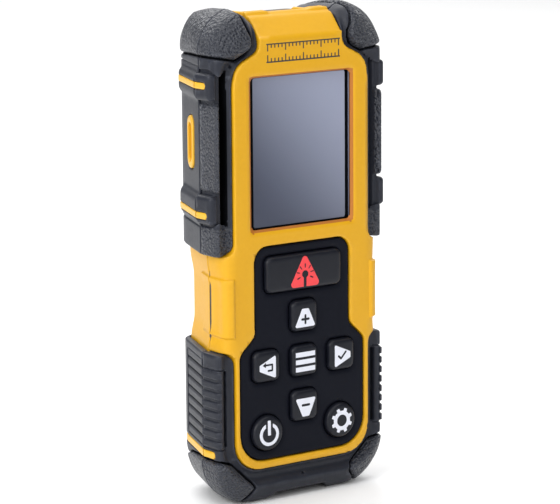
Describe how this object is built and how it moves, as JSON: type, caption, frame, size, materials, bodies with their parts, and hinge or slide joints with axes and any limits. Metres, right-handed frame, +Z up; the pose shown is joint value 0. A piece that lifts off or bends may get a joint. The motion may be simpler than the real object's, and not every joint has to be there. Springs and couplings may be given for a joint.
{
  "type": "laser distance meter",
  "caption": "Handheld laser distance meter with a yellow shell, ribbed rubber corner guards, a colour screen, a keypad and a hinged battery door.",
  "frame": {"origin": "on the resting plane under the middle of the meter, which stands on its lower end", "axes": "+X to the right as the screen is read, +Y towards the back, +Z up along the length; the screen and keys face -Y"},
  "size_m": [0.06, 0.0306, 0.138],
  "materials": {
    "yellow_plastic": "fine satin grain",
    "black_rubber": "matte moulded rubber",
    "key_rubber": "smooth silicone",
    "door_plastic": "textured",
    "dark_plastic": "matte",
    "clear_window": "polished",
    "coated_lens": "coated, polished",
    "display_glass": "polished",
    "polyester_film": "satin",
    "label_film": "satin silver",
    "circuit_board": "solder mask",
    "plated_steel": "zinc plated",
    "brass": "turned",
    "cell_sleeve": "printed sleeve, blank"
  },
  "bodies": {
    "meter_body": {"battery_tray": "dark_plastic", "buzzer": "dark_plastic", "cell_left": "cell_sleeve", "cell_right": "cell_sleeve", "contact_left": "plated_steel", "contact_right": "plated_steel", "detector": "circuit_board", "display_panel": "display_glass", "dome_sheet": "polyester_film", "front_housing": "yellow_plastic", "front_left_grip": "black_rubber", "front_lower_boot": "black_rubber", "front_right_grip": "black_rubber", "housing_seal": "black_rubber", "keypad_frame": "key_rubber", "lanyard_eyelet": "yellow_plastic", "laser_barrel": "brass", "laser_diode": "plated_steel", "laser_window": "coated_lens", "main_board": "circuit_board", "optics_bezel": "dark_plastic", "rating_label": "label_film", "rear_housing": "yellow_plastic", "rear_left_grip": "black_rubber", "rear_lower_boot": "black_rubber", "rear_right_grip": "black_rubber", "receiver_cone": "dark_plastic", "receiver_lens": "coated_lens", "screen_window": "clear_window", "screw_lower_left": "plated_steel", "screw_lower_right": "plated_steel", "screw_upper_left": "plated_steel", "screw_upper_right": "plated_steel", "spring_left": "plated_steel", "spring_right": "plated_steel", "tripod_insert": "brass", "window_gasket": "black_rubber"},
    "measure_key": {"measure_key": "key_rubber"},
    "plus_key": {"plus_key": "key_rubber"},
    "menu_key": {"menu_key": "key_rubber"},
    "minus_key": {"minus_key": "key_rubber"},
    "back_key": {"back_key": "key_rubber"},
    "confirm_key": {"confirm_key": "key_rubber"},
    "power_key": {"power_key": "key_rubber"},
    "settings_key": {"settings_key": "key_rubber"},
    "battery_door": {"battery_door": "door_plastic"},
    "door_latch": {"door_latch": "door_plastic"}
  },
  "joints": [
    {"name": "measure_press", "type": "slide", "parent": "meter_body", "child": "measure_key", "axis": [0, 1, 0], "range_m": [0, 0.0006], "stiffness_N_per_m": 2500},
    {"name": "plus_press", "type": "slide", "parent": "meter_body", "child": "plus_key", "axis": [0, 1, 0], "range_m": [0, 0.0006], "stiffness_N_per_m": 2500},
    {"name": "menu_press", "type": "slide", "parent": "meter_body", "child": "menu_key", "axis": [0, 1, 0], "range_m": [0, 0.0006], "stiffness_N_per_m": 2500},
    {"name": "minus_press", "type": "slide", "parent": "meter_body", "child": "minus_key", "axis": [0, 1, 0], "range_m": [0, 0.0006], "stiffness_N_per_m": 2500},
    {"name": "back_press", "type": "slide", "parent": "meter_body", "child": "back_key", "axis": [0, 1, 0], "range_m": [0, 0.0006], "stiffness_N_per_m": 2500},
    {"name": "confirm_press", "type": "slide", "parent": "meter_body", "child": "confirm_key", "axis": [0, 1, 0], "range_m": [0, 0.0006], "stiffness_N_per_m": 2500},
    {"name": "power_press", "type": "slide", "parent": "meter_body", "child": "power_key", "axis": [0, 1, 0], "range_m": [0, 0.0006], "stiffness_N_per_m": 2500},
    {"name": "settings_press", "type": "slide", "parent": "meter_body", "child": "settings_key", "axis": [0, 1, 0], "range_m": [0, 0.0006], "stiffness_N_per_m": 2500},
    {"name": "door_swing", "type": "hinge", "parent": "meter_body", "child": "battery_door", "pos_m": [0, 0.01345, 0.0169], "axis": [-1, 0, 0], "range_deg": [0, 75]},
    {"name": "latch_slide", "type": "slide", "parent": "battery_door", "child": "door_latch", "axis": [0, 0, -1], "range_m": [0, 0.0012], "stiffness_N_per_m": 900}
  ]
}
